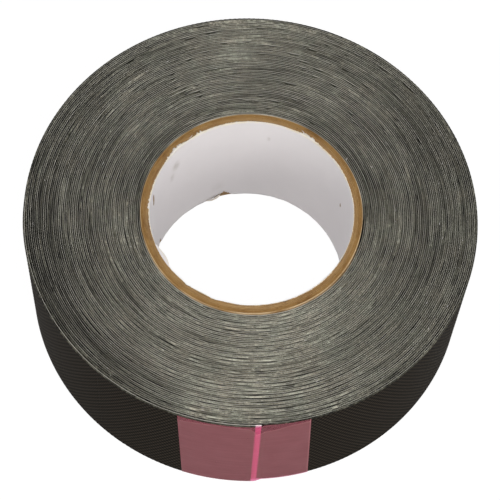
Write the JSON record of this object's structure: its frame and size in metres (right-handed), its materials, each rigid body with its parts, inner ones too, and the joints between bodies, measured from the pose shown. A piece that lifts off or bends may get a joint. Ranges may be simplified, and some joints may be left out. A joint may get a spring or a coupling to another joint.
{
  "type": "grip tape roll",
  "caption": "Full roll of wide dark cloth grip tape with a pale release liner, wound on a kraft board core and closed with a pink film tab over the cut end.",
  "frame": {"origin": "on the core's axis, at the lower face of the roll", "axes": "+Z along the core's axis, up out of the roll as it lies on its side; -Y towards the tab"},
  "size_m": [0.1699, 0.1704, 0.06],
  "materials": {
    "lining_paper": "matt white paper",
    "kraft_board": "raw cut board",
    "cloth_tape": "fine plain weave, rubberised, matt",
    "release_liner": "pale glazed paper",
    "tab_film": "thin translucent pink film"
  },
  "bodies": {
    "roll": {"core_lining": "lining_paper", "core_ply_1": "kraft_board", "core_ply_2": "kraft_board", "core_ply_3": "kraft_board", "core_ply_4": "kraft_board", "core_ply_5": "kraft_board", "core_ply_6": "kraft_board", "wound_liner": "release_liner", "wound_tape": "cloth_tape"},
    "end_1": {"tape_end_1": "cloth_tape", "liner_end_1": "release_liner"},
    "end_2": {"tape_end_2": "cloth_tape", "liner_end_2": "release_liner"},
    "end_3": {"tape_end_3": "cloth_tape", "liner_end_3": "release_liner"},
    "end_4": {"tape_end_4": "cloth_tape", "liner_end_4": "release_liner"},
    "end_5": {"tape_end_5": "cloth_tape", "liner_end_5": "release_liner"},
    "end_6": {"tape_end_6": "cloth_tape", "tab_anchor": "tab_film"},
    "liner_tip": {"liner_end_6": "release_liner"},
    "tab": {"tab_flap": "tab_film"}
  },
  "joints": [
    {"name": "tape_peel_1", "type": "hinge", "parent": "roll", "child": "end_1", "pos_m": [-0.08524, 0, 0.03], "axis": [0, 0, -1], "range_deg": [0, 22]},
    {"name": "tape_peel_2", "type": "hinge", "parent": "end_1", "child": "end_2", "pos_m": [-0.08232, -0.02215, 0.03], "axis": [0, 0, -1], "range_deg": [0, 22]},
    {"name": "tape_peel_3", "type": "hinge", "parent": "end_2", "child": "end_3", "pos_m": [-0.07375, -0.04278, 0.03], "axis": [0, 0, -1], "range_deg": [0, 22]},
    {"name": "tape_peel_4", "type": "hinge", "parent": "end_3", "child": "end_4", "pos_m": [-0.06013, -0.06049, 0.03], "axis": [0, 0, -1], "range_deg": [0, 22]},
    {"name": "tape_peel_5", "type": "hinge", "parent": "end_4", "child": "end_5", "pos_m": [-0.04238, -0.07405, 0.03], "axis": [0, 0, -1], "range_deg": [0, 22]},
    {"name": "tape_peel_6", "type": "hinge", "parent": "end_5", "child": "end_6", "pos_m": [-0.02173, -0.08256, 0.03], "axis": [0, 0, -1], "range_deg": [0, 22]},
    {"name": "liner_peel", "type": "hinge", "parent": "end_5", "child": "liner_tip", "pos_m": [-0.02173, -0.08256, 0.03], "axis": [0, 0, -1], "range_deg": [0, 11]},
    {"name": "tab_peel", "type": "hinge", "parent": "end_6", "child": "tab", "pos_m": [0.00763, -0.08519, 0.03], "axis": [0, 0, -1], "range_deg": [0, 150]}
  ],
  "couplings": [
    {"joint": "tape_peel_2", "follows": "tape_peel_1", "ratio": 1},
    {"joint": "tape_peel_3", "follows": "tape_peel_1", "ratio": 1},
    {"joint": "tape_peel_4", "follows": "tape_peel_1", "ratio": 1},
    {"joint": "tape_peel_5", "follows": "tape_peel_1", "ratio": 1},
    {"joint": "tape_peel_6", "follows": "tape_peel_1", "ratio": 1},
    {"joint": "liner_peel", "follows": "tape_peel_1", "ratio": 0.5}
  ]
}
